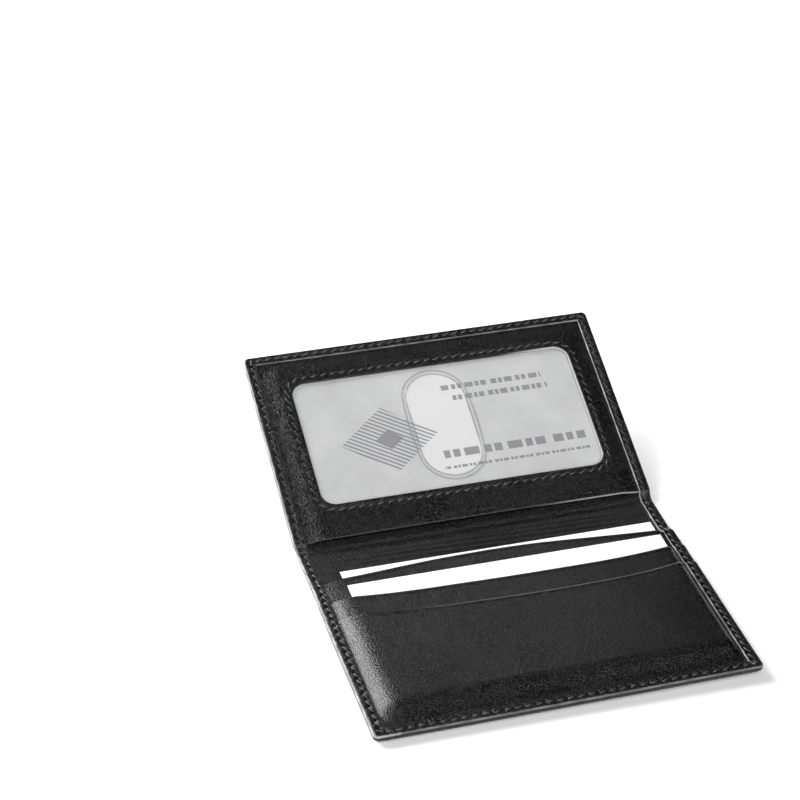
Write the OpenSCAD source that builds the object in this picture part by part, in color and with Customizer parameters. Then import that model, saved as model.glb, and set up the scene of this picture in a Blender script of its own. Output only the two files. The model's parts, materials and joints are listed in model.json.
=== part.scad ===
// Bifold business card case: three stepped card slots and an open-ended clear window pocket inside,
// one scooped card pocket outside, shown half open with four cards in place.
// The slot half lies flat; the window half is raised on a spine that folds at three lines.
// Sizes in mm. Origin: middle of the slot half's flat underside. +Y runs from its front edge to the spine.

/* [Case] */
// Width across the case
case_w = 104; // [95:1:115]
// Length of each half, from its free edge to the nearest fold line
half_l = 67.4; // [60:0.1:75]
// Distance between neighbouring fold lines of the spine
fold_step = 5.6; // [4:0.1:8]
// Angle of the window half above the table
rest_angle = 22.1; // [0:0.1:60]
// Radius of the four outside corners
corner_r = 2.6; // [0.5:0.1:6]

/* [Leather] */
// Thickness of the outside leather and of its turned edges
cover_t = 0.6; // [0.4:0.05:1]
// Thickness of the pocket and panel leather
panel_t = 0.5; // [0.3:0.05:0.8]
// Thickness of the spine's leather lining
skive_t = 0.3; // [0.2:0.05:0.5]
// Width of the turned edge along the sides
side_strip = 3.3; // [2:0.1:6]
// Width of the turned edge along the two free ends
end_strip = 2.9; // [2:0.1:6]

/* [Slots] */
// Distance of the rearmost slot's mouth from the front edge
slot_a_mouth = 63; // [58:0.5:66]
// Step from one slot's mouth to the next
slot_step = 8; // [5:0.5:12]
// Depth of the leather band of the two rear slots
slot_band = 14; // [9:0.5:20]

/* [Window] */
// Width of the window
window_w = 82.4; // [60:0.1:86]
// Height of the window
window_h = 41.4; // [30:0.1:46]
// Distance from the free edge to the window
window_top = 11.5; // [8:0.1:16]
// Radius of the window's corners
window_r = 4.2; // [0.5:0.1:8]
// Sideways offset of the window
window_x = 0.5; // [-3:0.1:3]
// Distance of the window pocket's open mouth from the free edge
window_mouth = 63.7; // [56:0.1:66]
// Width of the finger slot in the film
finger_w = 17; // [10:0.5:24]
// Height of the finger slot in the film
finger_h = 34.5; // [20:0.5:40]

/* [Cards] */
// Card width
card_w = 88.9; // [80:0.1:90]
// Card height
card_h = 50.8; // [45:0.1:55]
// Card thickness
card_t = 0.35; // [0.2:0.05:0.8]
// Sideways offset of the cards in the slots
card_x = 1.9; // [-2:0.1:2]
// Top edge of the rear slot's card, from the front edge
card_a_top = 67.5; // [60:0.1:68]
// Top edge of the middle slot's card, from the front edge
card_b_top = 60; // [56:0.1:62]

/* [Stitches] */
// Distance from one stitch to the next
stitch_pitch = 2.8; // [2:0.1:4]
// Length of one stitch
stitch_l = 2; // [1:0.1:3]

/* [Hidden] */
$fn = 48;
// along the flat pattern, from the slot half's front edge
fold_1 = half_l;
fold_2 = half_l + fold_step;
fold_3 = half_l + 2 * fold_step;
total_l = 2 * half_l + 2 * fold_step;
origin_y = 36;
axis_z = cover_t;
fold_gap = 0.08;
bevel = 0.6;            // run of a fold's cut edge per mm of height
stitch_w = 0.45;
stitch_h = 0.2;
stitch_in = 2.1;
end_stitch_in = 1.45;
room = 0.1;             // clearance on each side of a card
gap = card_t + 2 * room;
board_t = 0.4;
cloth_t = 0.2;
wall_in = cover_t + 0.1;
half_w = case_w / 2;
wide = half_w - wall_in;

// heights in the slot half, middle and seam
pocket_mid = 0;
cover_z = panel_t + gap;
pocket_seam_z = cover_z - panel_t;
lining_seam = cover_z + cover_t;
lining_mid = lining_seam + board_t;
slot_seam = lining_seam + cloth_t;
slot_a_z = lining_mid + cloth_t + gap;
slot_b_z = slot_a_z + panel_t + gap;
slot_c_z = slot_b_z + panel_t + 0.25;
strip_z = slot_seam + panel_t;
strip_top = strip_z + cover_t;
slot_b_mouth = slot_a_mouth - slot_step;
slot_c_mouth = slot_a_mouth - 2 * slot_step;
pocket_end = 58;
ramp_0 = pocket_end + 0.2;
ramp_1 = half_l - 1;
scoop = 9.6;

// heights in the window half
thin_board = 0.3;
thin_cloth = 0.15;
up_lining_mid = cover_t + thin_board;
id_z = up_lining_mid + thin_cloth;
film_z = id_z + gap;
film_t = 0.15;
panel_mid = film_z + film_t;
panel_seam = cover_t + skive_t;
up_strip_z = panel_seam + panel_t;
up_strip_top = up_strip_z + cover_t - 0.05;
mouth_v = total_l - window_mouth;
window_v = total_l - window_top - window_h / 2;

// where the middle of a layer starts to slope to its seam
left_mid = -43;
right_mid = 46.6;
left_seam = -48.1;
right_seam = 48.3;

leather = [0.06, 0.06, 0.065];
cloth = [0.1, 0.1, 0.11];
board = [0.55, 0.5, 0.42];
thread = [0.12, 0.12, 0.13];
paper = [0.95, 0.94, 0.9];
clear = [0.85, 0.88, 0.9, 0.35];

// places the slot half and the spine in the part's frame
module lay()
    translate([0, -origin_y, 0])
        children();

// raises the window half about the last fold line
module raise()
    translate([0, fold_3 - origin_y, axis_z])
        rotate([rest_angle, 0, 0])
            translate([0, -fold_3, -axis_z])
                children();

// a plain sheet
module sheet(x0, x1, y0, y1, z0, t)
    translate([x0, y0, z0])
        cube([x1 - x0, y1 - y0, t]);

// a section in Y and Z, run across from x0 to x1
module across(x0, x1)
    translate([x0, 0, 0])
        rotate([90, 0, 90])
            linear_extrude(x1 - x0)
                children();

// a section in X and Z, run along from y0 to y1
module along(y0, y1)
    translate([0, y1, 0])
        rotate([90, 0, 0])
            linear_extrude(y1 - y0)
                children();

// outline of one half, inset all round; its two rounded corners are at the free end
module outline(inset, end_inset, length)
{
    r = max(corner_r - inset, 0.3);
    w = half_w - inset;
    translate([-w + r, end_inset])
        square([2 * (w - r), r]);
    translate([-w, end_inset + r])
        square([2 * w, length - end_inset - r]);
    translate([-w + r, end_inset + r])
        circle(r);
    translate([w - r, end_inset + r])
        circle(r);
}

// outline of the window half: the free end is at the far side
module far_outline(inset, end_inset, from_v)
    translate([0, total_l])
        mirror([0, 1])
            outline(inset, end_inset, total_l - from_v);

// one side of a domed layer: everything below its surface, seen along Y
module dome_x(mid, seam, x_left, x_right)
    polygon([[-wide, -1], [wide, -1], [wide, seam], [right_seam, seam], [x_right, mid],
             [x_left, mid], [left_seam, seam], [-wide, seam]]);

// the same seen along X, dropping to the seam at the front
module dome_y(mid, seam, y0, y1)
    polygon([[y0, -1], [y1, -1], [y1, mid], [y0 + 7.5, mid], [y0 + 2.8, seam], [y0, seam]]);

// a layer with a raised middle and a low seam on three sides
module domed(mid, seam, t, y0, y1, x_left = left_mid, x_right = right_mid)
    difference() {
        intersection() {
            along(y0, y1)
                dome_x(mid + t, seam + t, x_left, x_right);
            across(-half_w, half_w)
                dome_y(mid + t, seam + t, y0, y1);
        }
        intersection() {
            along(y0 - 1, y1 + 1)
                dome_x(mid, seam, x_left, x_right);
            across(-half_w - 1, half_w + 1)
                polygon([[y0 - 1, -2], [y1 + 1, -2], [y1 + 1, mid], [y0 + 7.5, mid],
                         [y0 + 2.8, seam], [y0 - 1, seam]]);
        }
        sheet(-half_w - 1, half_w + 1, y0 - 2, y1 + 2, -3, 3 + min(mid, seam));
    }

// a slot's band: raised middle, low at the two sides only
module band(mid, t, y0, y1)
    along(y0, y1)
        polygon([[-wide, slot_seam], [left_seam, slot_seam], [left_mid, mid], [right_mid, mid],
                 [right_seam, slot_seam], [wide, slot_seam], [wide, slot_seam + t],
                 [right_seam, slot_seam + t], [right_mid, mid + t], [left_mid, mid + t],
                 [left_seam, slot_seam + t], [-wide, slot_seam + t]]);

// a row of stitches along Y between y0 and y1
module stitches_y(x, y0, y1, z)
{
    n = floor((y1 - y0) / stitch_pitch);
    for (i = [0 : n])
        translate([x - stitch_w / 2, y0 + i * (y1 - y0) / n - stitch_l / 2, z])
            cube([stitch_w, stitch_l, stitch_h]);
}

// a row of stitches along X between x0 and x1
module stitches_x(y, x0, x1, z)
{
    n = floor((x1 - x0) / stitch_pitch);
    for (i = [0 : n])
        translate([x0 + i * (x1 - x0) / n - stitch_l / 2, y - stitch_w / 2, z])
            cube([stitch_l, stitch_w, stitch_h]);
}

module card(x, top, z)
    sheet(x - card_w / 2, x + card_w / 2, top - card_h, top, z, card_t);

// outside leather of the slot half, turned over its three free edges
module lower_cover()
    color(leather) lay() {
        translate([0, 0, cover_z])
            linear_extrude(cover_t)
                outline(0, 0, ramp_0);
        translate([0, 0, cover_z + cover_t])
            linear_extrude(strip_top - cover_z - cover_t)
                difference() {
                    outline(0, 0, slot_a_mouth);
                    translate([0, -0.001])
                        outline(cover_t, cover_t, slot_a_mouth + 1);
                }
        translate([0, 0, strip_z])
            linear_extrude(cover_t)
                difference() {
                    outline(0, 0, slot_a_mouth);
                    outline(side_strip, end_strip, slot_a_mouth + 1);
                }
        across(-half_w, half_w)
            polygon([[ramp_0, cover_z], [ramp_1, 0], [fold_1 - fold_gap, 0],
                     [fold_1 - fold_gap, cover_t], [ramp_1, cover_t], [ramp_0, cover_z + cover_t]]);
        for (side = [-1, 1]) {
            edge = side < 0 ? -half_w : half_w - cover_t;
            strip = side < 0 ? -half_w : half_w - side_strip;
            across(edge, edge + cover_t)
                polygon([[ramp_0, cover_z], [ramp_1, 0], [fold_1 - fold_gap, 0],
                         [fold_1 - fold_gap, axis_z], [fold_1 - fold_gap - bevel, axis_z + 0.9],
                         [ramp_1 - bevel, axis_z + 0.9], [slot_a_mouth, strip_top],
                         [ramp_0, strip_top]]);
            across(strip, strip + side_strip)
                polygon([[slot_a_mouth - 0.1, strip_z], [slot_a_mouth + 0.2, strip_z],
                         [ramp_1 - bevel, axis_z + skive_t],
                         [fold_1 - fold_gap - bevel * skive_t, axis_z + skive_t],
                         [fold_1 - fold_gap - bevel, axis_z + 0.9],
                         [ramp_1 - bevel, axis_z + 0.9], [slot_a_mouth, strip_top],
                         [slot_a_mouth - 0.1, strip_top]]);
        }
    }

// leather pocket on the outside, its mouth scooped towards the spine
module outer_pocket()
    color(leather) lay()
        difference() {
            translate([0, 0, cover_z])
                mirror([0, 0, 1])
                    intersection() {
                        domed_down();
                        translate([0, 0, -1])
                            linear_extrude(cover_z + 2)
                                outline(0.15, 0.15, pocket_end);
                    }
            translate([0, pocket_end - scoop + scoop_r(), -1])
                cylinder(h = cover_z + 2, r = scoop_r(), $fn = 96);
            pocket_stitches();
        }

function scoop_r() = (48 * 48 + scoop * scoop) / (2 * scoop);

// the outer pocket upside down: seam at the sides and front, raised middle
module domed_down()
{
    m = cover_z;
    s = panel_t;
    e = half_w;
    difference() {
        intersection() {
            along(0, pocket_end)
                polygon([[-e, 0], [e, 0], [e, s], [right_seam, s], [right_mid, m], [-right_mid, m],
                         [-right_seam, s], [-e, s]]);
            across(-e, e)
                polygon([[0, 0], [pocket_end, 0], [pocket_end, m], [5.2, m], [3, s], [0, s]]);
        }
        intersection() {
            along(-1, pocket_end + 1)
                polygon([[-e, -1], [e, -1], [e, 0], [right_seam, 0], [right_mid, m - s],
                         [-right_mid, m - s], [-right_seam, 0], [-e, 0]]);
            across(-e - 1, e + 1)
                polygon([[-1, -1], [pocket_end + 1, -1], [pocket_end + 1, m - s], [5.2, m - s],
                         [3, 0], [-1, 0]]);
        }
    }
}

// stitches just below the scooped mouth, let into the leather
module pocket_stitches()
{
    r = scoop_r() + 2;
    half_a = 20.5;
    n = 30;
    for (i = [-n / 2 : n / 2])
        translate([0, pocket_end - scoop + scoop_r(), 0])
            rotate([0, 0, i * half_a / (n / 2)])
                translate([-stitch_l / 2, -r - stitch_w / 2, -0.05])
                    cube([stitch_l, stitch_w, 0.2]);
}

// thread of the outer pocket's mouth
module pocket_seam()
    color(thread) lay()
        intersection() {
            pocket_stitches();
            sheet(-half_w, half_w, 0, pocket_end, 0, 1);
        }

// stiff board inside the slot half
module lower_board()
    color(board) lay()
        sheet(-45, 45, 8, pocket_end - 0.6, lining_seam, board_t);

// cloth lining under the slots
module lower_lining()
    color(cloth) lay()
        domed(lining_mid, lining_seam, cloth_t, cover_t + 0.1, pocket_end + 0.1, -45.3, 45.3);

// leather lining of the spine, first part, fixed in the slot half
module fold_lining_low()
    color(leather) lay()
        across(-wide, wide)
            polygon([[pocket_end + 1.2, ramp_at(pocket_end + 1.2)], [ramp_1, cover_t],
                     [fold_1 - fold_gap, cover_t], [fold_1 - fold_gap - bevel * skive_t, cover_t + skive_t],
                     [ramp_1, cover_t + skive_t], [pocket_end + 1.2, ramp_at(pocket_end + 1.2) + skive_t]]);

function ramp_at(v) = cover_z + cover_t - (v - ramp_0) * cover_z / (ramp_1 - ramp_0);

// rear slot: leather band
module slot_a()
    color(leather) lay()
        band_between(slot_a_z, slot_a_mouth, slot_b_mouth + 0.15);

// middle slot: leather band
module slot_b()
    color(leather) lay()
        band_between(slot_b_z, slot_b_mouth, slot_c_mouth + 0.15);

// a band whose side tabs only reach down to the next slot's mouth
module band_between(z, mouth, tab_end)
{
    band(z, panel_t, tab_end, mouth);
    sheet(left_mid + 0.5, right_mid - 0.5, mouth - slot_band, mouth, z, panel_t);
}

// front slot: leather panel down to the front edge
module slot_c()
    color(leather) lay()
        domed(slot_c_z, slot_seam, panel_t, cover_t + 0.1, slot_c_mouth);

// cloth that carries on below the leather band of the rear slot
module slot_a_apron()
    color(cloth) lay()
        sheet(left_mid + 0.5, right_mid - 0.5, 15.5, slot_a_mouth - slot_band, slot_a_z, thin_cloth);

// cloth that carries on below the leather band of the middle slot
module slot_b_apron()
    color(cloth) lay()
        sheet(left_mid + 0.5, right_mid - 0.5, 8.4, slot_b_mouth - slot_band, slot_b_z, thin_cloth);

// edge stitching of the slot half, inside and outside
module lower_seam()
    color(thread) lay() {
        for (z = [strip_top, pocket_seam_z - stitch_h]) {
            last = z > 1 ? slot_a_mouth - 1.4 : pocket_end - 1.6;
            stitches_y(-half_w + stitch_in, 4.2, last, z);
            stitches_y(half_w - stitch_in, 4.2, last, z);
            stitches_x(end_stitch_in, -half_w + 4, half_w - 4, z);
        }
    }

// section of a spine part between two fold lines, cut back above the folds
module spine_section(y0, y1, z0, z1)
    polygon([[y0 + fold_gap + bevel * max(z0 - axis_z, 0), z0],
             [y1 - fold_gap - bevel * max(z0 - axis_z, 0), z0],
             [y1 - fold_gap - bevel * max(z1 - axis_z, 0), z1],
             [y0 + fold_gap + bevel * max(z1 - axis_z, 0), z1]]);

// outside leather of one spine part, with its turned side edges
module spine_cover(y0, y1)
    color(leather) lay() {
        across(-half_w, half_w)
            spine_section(y0, y1, 0, axis_z);
        for (side = [-1, 1]) {
            edge = side < 0 ? -half_w : half_w - cover_t;
            strip = side < 0 ? -half_w : half_w - side_strip;
            across(edge, edge + cover_t)
                spine_section(y0, y1, axis_z, axis_z + 0.9);
            across(strip, strip + side_strip)
                spine_section(y0, y1, axis_z + skive_t, axis_z + 0.9);
        }
    }

module spine_cover_one()
    spine_cover(fold_1, fold_2);

module spine_cover_two()
    spine_cover(fold_2, fold_3);

// leather lining of one spine part
module spine_lining_one()
    color(leather) lay()
        across(-wide, wide)
            spine_section(fold_1, fold_2, axis_z, axis_z + skive_t);

module spine_lining_two()
    color(leather) lay()
        across(-wide, wide)
            spine_section(fold_2, fold_3, axis_z, axis_z + skive_t);

// edge stitching of one spine part
module spine_seam(y0)
    color(thread) lay()
        for (side = [-1, 1])
            for (i = [-1, 1])
                translate([side * (half_w - stitch_in) - stitch_w / 2,
                           y0 + fold_step / 2 + i * 1.05 - 0.75, axis_z + 0.9])
                    cube([stitch_w, 1.5, stitch_h]);

module spine_seam_one()
    spine_seam(fold_1);

module spine_seam_two()
    spine_seam(fold_2);

// outside leather of the window half, turned over its three free edges
module upper_cover()
    color(leather) raise() {
        linear_extrude(cover_t)
            far_outline(0, 0, fold_3 + fold_gap);
        difference() {
            union() {
                translate([0, 0, cover_t])
                    linear_extrude(up_strip_top - cover_t)
                        difference() {
                            far_outline(0, 0, fold_3 + fold_gap);
                            far_outline(cover_t, cover_t, fold_3 - 1);
                        }
                translate([0, 0, up_strip_z])
                    linear_extrude(up_strip_top - up_strip_z)
                        difference() {
                            far_outline(0, 0, fold_3 + fold_gap);
                            far_outline(side_strip, end_strip, fold_3 - 1);
                        }
            }
            // the strip is lower between the fold and the window pocket's mouth
            across(-half_w - 1, half_w + 1)
                polygon([[fold_3 - 1, axis_z], [fold_3 + fold_gap, axis_z],
                         [fold_3 + fold_gap + 0.9 * bevel, axis_z + 0.9], [mouth_v - 1.2, axis_z + 0.9],
                         [mouth_v, up_strip_top], [mouth_v, 5], [fold_3 - 1, 5]]);
        }
        for (side = [-1, 1]) {
            strip = side < 0 ? -half_w : half_w - side_strip;
            across(strip, strip + side_strip)
                polygon([[fold_3 + fold_gap + bevel * skive_t, axis_z + skive_t],
                         [mouth_v - 0.1, axis_z + skive_t], [mouth_v - 0.1, up_strip_z],
                         [mouth_v + 0.1, up_strip_z], [mouth_v + 0.1, up_strip_top], [mouth_v, up_strip_top],
                         [mouth_v - 1.2, axis_z + 0.9], [fold_3 + fold_gap + 0.9 * bevel, axis_z + 0.9]]);
        }
    }

// stiff board inside the window half
module upper_board()
    color(board) raise()
        sheet(-45, 45, mouth_v + 2.2, total_l - 8.2, cover_t, thin_board);

// turns a layer of the window half end for end, so its low seam is at the free edge
module turn()
    translate([0, total_l, 0])
        mirror([0, 1, 0])
            children();

// cloth lining behind the window pocket
module upper_lining()
    color(cloth) raise()
        turn()
            domed(up_lining_mid, cover_t, thin_cloth, cover_t + 0.1, window_mouth - 1.9, -45.3, 45.3);

// leather lining of the spine, last part, fixed in the window half
module fold_lining_high()
    color(leather) raise()
        across(-wide, wide)
            polygon([[fold_3 + fold_gap, axis_z], [mouth_v + 1.7, axis_z],
                     [mouth_v + 1.7, axis_z + skive_t],
                     [fold_3 + fold_gap + bevel * skive_t, axis_z + skive_t]]);

// rounded rectangle
module rounded(w, h, r)
{
    square([w - 2 * r, h], center = true);
    square([w, h - 2 * r], center = true);
    for (sx = [-1, 1])
        for (sy = [-1, 1])
            translate([sx * (w / 2 - r), sy * (h / 2 - r)])
                circle(r);
}

// leather panel with the window cut out; its lower edge is the pocket's mouth
module window_panel()
    color(leather) raise()
        difference() {
            turn()
                domed(panel_mid, panel_seam, panel_t, cover_t + 0.1, window_mouth, -45.8, 45.8);
            translate([window_x, window_v, 0])
                linear_extrude(6)
                    rounded(window_w, window_h, window_r);
        }

// clear film behind the window, with an upright finger slot
module window_film()
    color(clear) raise()
        difference() {
            sheet(-45.4, 45.4, window_v - window_h / 2 - 4, window_v + window_h / 2 + 3.4, film_z, film_t);
            translate([window_x - 0.9, window_v + 0.5, 0])
                linear_extrude(6)
                    rounded(finger_w, finger_h, finger_w / 2 - 0.01);
        }

// edge stitching of the window half, inside and outside
module upper_seam()
    color(thread) raise() {
        for (z = [up_strip_top, -stitch_h]) {
            stitches_y(-half_w + stitch_in, mouth_v + 1.6, total_l - 4.2, z);
            stitches_y(half_w - stitch_in, mouth_v + 1.6, total_l - 4.2, z);
            stitches_x(total_l - end_stitch_in, -half_w + 4, half_w - 4, z);
        }
    }

// stitching round the window, which holds the film
module window_seam()
    color(thread) raise() {
        r = window_r + 1.9;
        sx = window_w / 2 - window_r;
        sy = window_h / 2 - window_r;
        z = panel_mid + panel_t;
        for (side = [-1, 1]) {
            stitches_y(window_x + side * (window_w / 2 + 1.9), window_v - sy, window_v + sy, z);
            stitches_x(window_v + side * (window_h / 2 + 1.9), window_x - sx, window_x + sx, z);
        }
        for (cx = [-1, 1])
            for (cy = [-1, 1])
                for (a = [28, 62])
                    translate([window_x + cx * sx, window_v + cy * sy, z])
                        rotate([0, 0, atan2(cy * sin(a), cx * cos(a))])
                            translate([r - stitch_w / 2, -stitch_l / 2, 0])
                                cube([stitch_w, stitch_l, stitch_h]);
    }

// card in the rear slot
module card_a()
    color(paper) lay()
        card(card_x, card_a_top, slot_a_z - gap + room);

// card in the middle slot
module card_b()
    color(paper) lay()
        card(card_x, card_b_top, slot_b_z - gap + room);

// card in the outer pocket
module outer_card()
    color(paper) lay()
        card(0, 56.6, panel_t + room);

// card behind the window
module id_card()
    color(paper) raise()
        card(0, total_l - 7, id_z + room);

lower_cover();
outer_pocket();
lower_board();
lower_lining();
fold_lining_low();
slot_a();
slot_b();
slot_c();
slot_a_apron();
slot_b_apron();
lower_seam();
pocket_seam();
spine_cover_one();
spine_lining_one();
spine_seam_one();
spine_cover_two();
spine_lining_two();
spine_seam_two();
upper_cover();
upper_board();
upper_lining();
fold_lining_high();
window_panel();
window_film();
upper_seam();
window_seam();
card_a();
card_b();
outer_card();
id_card();
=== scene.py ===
import json
import math

import bpy
import numpy as np
from mathutils import Matrix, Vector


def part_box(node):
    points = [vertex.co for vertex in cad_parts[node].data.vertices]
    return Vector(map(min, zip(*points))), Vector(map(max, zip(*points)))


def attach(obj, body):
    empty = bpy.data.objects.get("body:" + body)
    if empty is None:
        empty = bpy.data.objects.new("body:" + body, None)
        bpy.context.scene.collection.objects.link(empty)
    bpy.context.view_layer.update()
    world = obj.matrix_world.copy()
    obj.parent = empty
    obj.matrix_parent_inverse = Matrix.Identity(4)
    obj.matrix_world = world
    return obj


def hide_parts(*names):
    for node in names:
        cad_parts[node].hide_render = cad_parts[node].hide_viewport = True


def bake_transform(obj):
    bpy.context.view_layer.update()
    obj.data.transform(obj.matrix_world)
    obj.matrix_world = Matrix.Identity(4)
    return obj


# The case itself. It is sewn as one flat strip, half - spine - half, and only then folded, so every
# piece below is laid out flat: x across, y along the strip, z up from the table. at_rest() then lays
# the slot half on the table and lifts the window half about the spine's last fold line.
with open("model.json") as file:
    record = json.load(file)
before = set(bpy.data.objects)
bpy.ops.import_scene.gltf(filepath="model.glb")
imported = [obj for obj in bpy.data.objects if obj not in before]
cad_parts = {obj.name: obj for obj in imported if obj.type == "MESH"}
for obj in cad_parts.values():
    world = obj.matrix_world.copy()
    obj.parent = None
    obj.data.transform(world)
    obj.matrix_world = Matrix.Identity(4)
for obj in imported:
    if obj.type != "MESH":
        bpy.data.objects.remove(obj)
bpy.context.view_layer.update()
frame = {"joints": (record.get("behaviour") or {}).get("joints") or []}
joints = {j["name"]: j for j in frame["joints"]}
mm = 0.001

half_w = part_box("lower_cover")[1][0]
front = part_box("lower_cover")[0][1]
fold_1, fold_2, fold_3 = (
    joints[f"spine_fold_{where}"]["pos_m"][1] for where in ("low", "middle", "high")
)
fold_z = joints["spine_fold_high"]["pos_m"][2]
lift = math.radians(-joints["spine_fold_high"]["range_deg"][0])
far = fold_3 + (fold_1 - front)
cut_1 = (fold_1 + fold_2) / 2
cut_2 = (fold_2 + fold_3) / 2
pocket_start = front + 63 * mm
corner_rise = 0.9 * mm
fold_radius = 1.8 * mm
sharp_angle = math.radians(50)


def ease(t):
    t = np.clip(t, 0, 1)
    return t * t * (3 - 2 * t)


def at_rest(flat):
    """Points of the flat strip, moved to where they are on the table. The slot half's front right
    corner curls up a little, as worn leather does."""
    x, y, z = np.asarray(flat, float).reshape(-1, 3).T
    reach = np.clip((pocket_start - y) / (pocket_start - front), 0, 1) ** 2
    z = z + reach * corner_rise * np.clip((x / half_w + 1) / 2, 0, 1) ** 1.5
    turn = lift * ease((y - fold_3) / fold_radius)
    dy, dz = y - fold_3, z - fold_z
    turned_y = fold_3 + dy * np.cos(turn) - dz * np.sin(turn)
    turned_z = fold_z + dy * np.sin(turn) + dz * np.cos(turn)
    return np.stack([x, turned_y, turned_z], axis=1)


def in_scene(name, data):
    obj = bpy.data.objects.new(name, data)
    bpy.context.scene.collection.objects.link(obj)
    return obj


def mesh_object(name, points, faces, material, wear=None, settled=True):
    """A mesh object in the case's frame. Its optional greying numbers, one a point, say how far its
    colour is
    painted paler: partly worn, partly painted highlights. A piece that isn't settled keeps its flat
    place, as a stiff card does."""
    mesh = bpy.data.meshes.new(name)
    at = at_rest(points) if settled else points
    mesh.from_pydata(at.tolist(), [], [tuple(int(i) for i in f) for f in faces])
    mesh.polygons.foreach_set("use_smooth", [True] * len(mesh.polygons))
    mesh.set_sharp_from_angle(angle=sharp_angle)
    if wear is not None:
        mesh.attributes.new("wear", "FLOAT", "POINT").data.foreach_set("value", np.ravel(wear))
    mesh.materials.append(material)
    return in_scene(name, mesh)


def lines(length, edge=(0, 0.04, 0.1, 0.2, 0.35, 0.55, 0.8, 1.1, 1.4, 1.8), step=1.0):
    """Grid lines over a length in metres, closer together at both ends, as shares of the length."""
    near = np.array(edge) * mm
    count = max(2, round((length - 2 * near[-1]) / (step * mm)))
    middle = np.linspace(near[-1], length - near[-1], count)
    return np.concatenate([near, middle[1:-1], (length - near)[::-1]]) / length


def skin(top, bottom):
    """Points and faces of a closed sheet from its two grids of points, faces outwards."""
    n, m = top.shape[:2]
    index = np.arange(n * m).reshape(n, m)
    a, b, c, d = index[:-1, :-1], index[1:, :-1], index[1:, 1:], index[:-1, 1:]
    upper = np.stack([a, b, c, d], axis=-1).reshape(-1, 4)
    faces = [upper, upper[:, ::-1] + n * m]
    rim = np.concatenate([index[0, :-1], index[:-1, -1], index[-1, :0:-1], index[:0:-1, 0]])
    after = np.roll(rim, -1)
    faces.append(np.stack([rim, after, after + n * m, rim + n * m], axis=-1))
    return np.concatenate([top.reshape(-1, 3), bottom.reshape(-1, 3)]), np.concatenate(faces)


def rolled(d, r):
    """How far a rounded edge of radius r drops at distance d from the edge."""
    d = np.clip(d, 0, r)
    return r - np.sqrt(np.maximum(r * r - (r - d) ** 2, 0))


# Black pebbled cowhide, drum-dyed and lightly glazed: a net of small pebbles with finer creases in it
# and a little uneven in gloss. The hollows between pebbles are painted darker as painted shade, and
# edges marked as rubbed are painted greyer, partly worn and partly as painted highlights.
def new_group(name, inputs, outputs):
    group = bpy.data.node_groups.new(name, "ShaderNodeTree")
    for label, kind, value in inputs:
        socket = group.interface.new_socket(label, in_out="INPUT", socket_type=kind)
        if value is not None:
            socket.default_value = value
    for label, kind in outputs:
        group.interface.new_socket(label, in_out="OUTPUT", socket_type=kind)
    return group, group.nodes.new("NodeGroupInput"), group.nodes.new("NodeGroupOutput")


def node(tree, kind, links=None, **settings):
    """A node with its settings; links maps an input's name or number to an output or a value."""
    made = tree.nodes.new(kind)
    for key, value in settings.items():
        setattr(made, key, value)
    for key, value in (links or {}).items():
        if isinstance(value, bpy.types.NodeSocket):
            tree.links.new(value, made.inputs[key])
        else:
            made.inputs[key].default_value = value
    return made


def math_node(tree, operation, a, b=0.0, c=0.0, clamp=False):
    made = node(tree, "ShaderNodeMath", {0: a, 1: b, 2: c}, operation=operation, use_clamp=clamp)
    return made.outputs[0]


def mix_colour(tree, factor, a, b):
    made = node(tree, "ShaderNodeMix", data_type="RGBA")
    for key, value in (("Factor_Float", factor), ("A_Color", a), ("B_Color", b)):
        socket = next(s for s in made.inputs if s.identifier == key)
        if isinstance(value, bpy.types.NodeSocket):
            tree.links.new(value, socket)
        else:
            socket.default_value = value
    return next(s for s in made.outputs if s.identifier == "Result_Color")


def noise(tree, vector, scale, detail, distortion=0.0):
    """A noise texture; scale is in waves a metre."""
    return node(tree, "ShaderNodeTexNoise", {"Vector": vector, "Scale": scale, "Detail": detail,
                                             "Distortion": distortion})


pebble_pitch = 2300.0
pull_length = 0.0012
grain_relief = 0.00014
# The next factor paints the hollows between pebbles darker, as painted shade; the grey after it is
# painted on marked edges, partly worn and partly as painted highlights.
painted_hollow_shade = 0.04
worn_and_highlight_grey = (0.55, 0.55, 0.545, 1)

grain, g_in, g_out = new_group(
    "Pebble grain",
    [("Vector", "NodeSocketVector", None), ("Pebbles per metre", "NodeSocketFloat", pebble_pitch),
     ("Stretch", "NodeSocketFloat", 0.25)],
    [("Height", "NodeSocketFloat"), ("Hollows", "NodeSocketFloat"), ("Patches", "NodeSocketFloat")],
)
hide = g_in.outputs["Vector"]
broad = noise(grain, hide, 260.0, 2.0)
pull = node(grain, "ShaderNodeVectorMath", {0: broad.outputs["Color"], 1: (0.5, 0.5, 0.5)},
            operation="SUBTRACT")
pulled = node(grain, "ShaderNodeVectorMath", {0: pull.outputs[0], "Scale": pull_length},
              operation="SCALE")
warped = node(grain, "ShaderNodeVectorMath", {0: hide, 1: pulled.outputs[0]}, operation="ADD")
pebbles = node(
    grain, "ShaderNodeTexVoronoi",
    {"Vector": warped.outputs[0], "Scale": g_in.outputs["Pebbles per metre"], "Smoothness": 0.35},
    feature="SMOOTH_F1",
)
fine = noise(grain, warped.outputs[0], 5200.0, 3.0)
creases = noise(grain, warped.outputs[0], 900.0, 4.0, distortion=0.6)
domes = math_node(grain, "SUBTRACT", 1.0, pebbles.outputs["Distance"])
with_fine = math_node(grain, "MULTIPLY_ADD", fine.outputs[0], 0.35, domes)
creased = math_node(grain, "MULTIPLY", creases.outputs[0], g_in.outputs["Stretch"])
height = math_node(grain, "ADD", with_fine, creased)
hollows = node(grain, "ShaderNodeMapRange", {"Value": pebbles.outputs["Distance"], "From Min": 0.14,
                                             "From Max": 0.42})
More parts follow.
